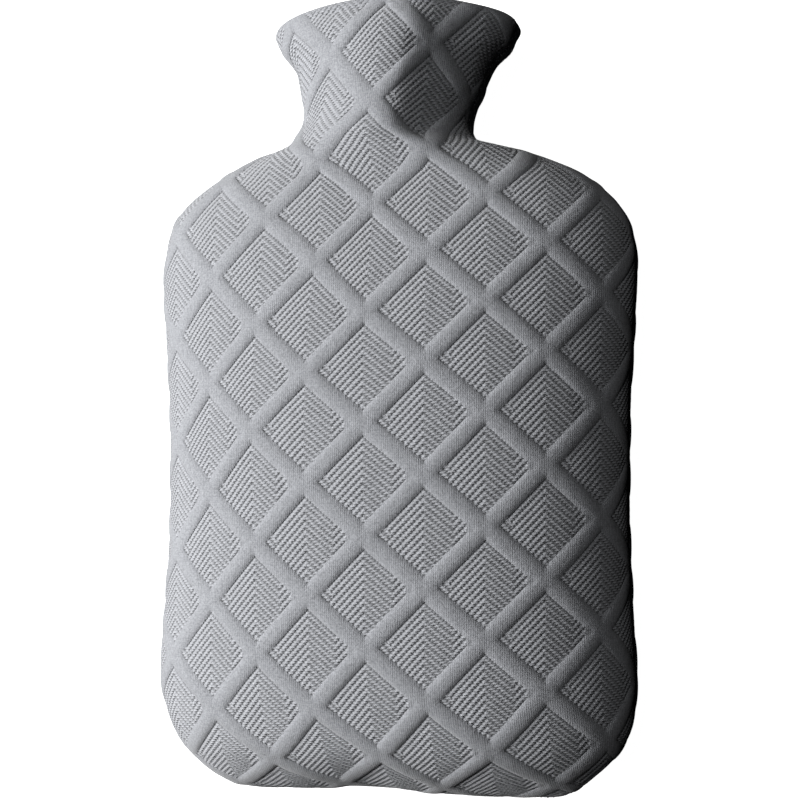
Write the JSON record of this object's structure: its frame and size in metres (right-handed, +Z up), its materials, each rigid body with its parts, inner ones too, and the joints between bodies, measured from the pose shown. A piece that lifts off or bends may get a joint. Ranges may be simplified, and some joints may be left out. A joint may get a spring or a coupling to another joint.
{
  "type": "hot water bottle cover",
  "caption": "Hollow knitted cover for a hot water bottle, with raised lattice bands, sunken ribbed diamonds, a narrow neck and a flared open collar.",
  "frame": {"origin": "on the surface that the cover lies on, below the middle of its box", "axes": "+Z up out of the front panel, +Y along the cover from the bottom seam to the collar, +X across it"},
  "size_m": [0.2088, 0.3338, 0.0786],
  "materials": {
    "front_knit": "matt double knit",
    "back_knit": "matt double knit"
  },
  "bodies": {
    "root": {"front_panel": "front_knit", "back_panel": "back_knit"}
  },
  "joints": []
}
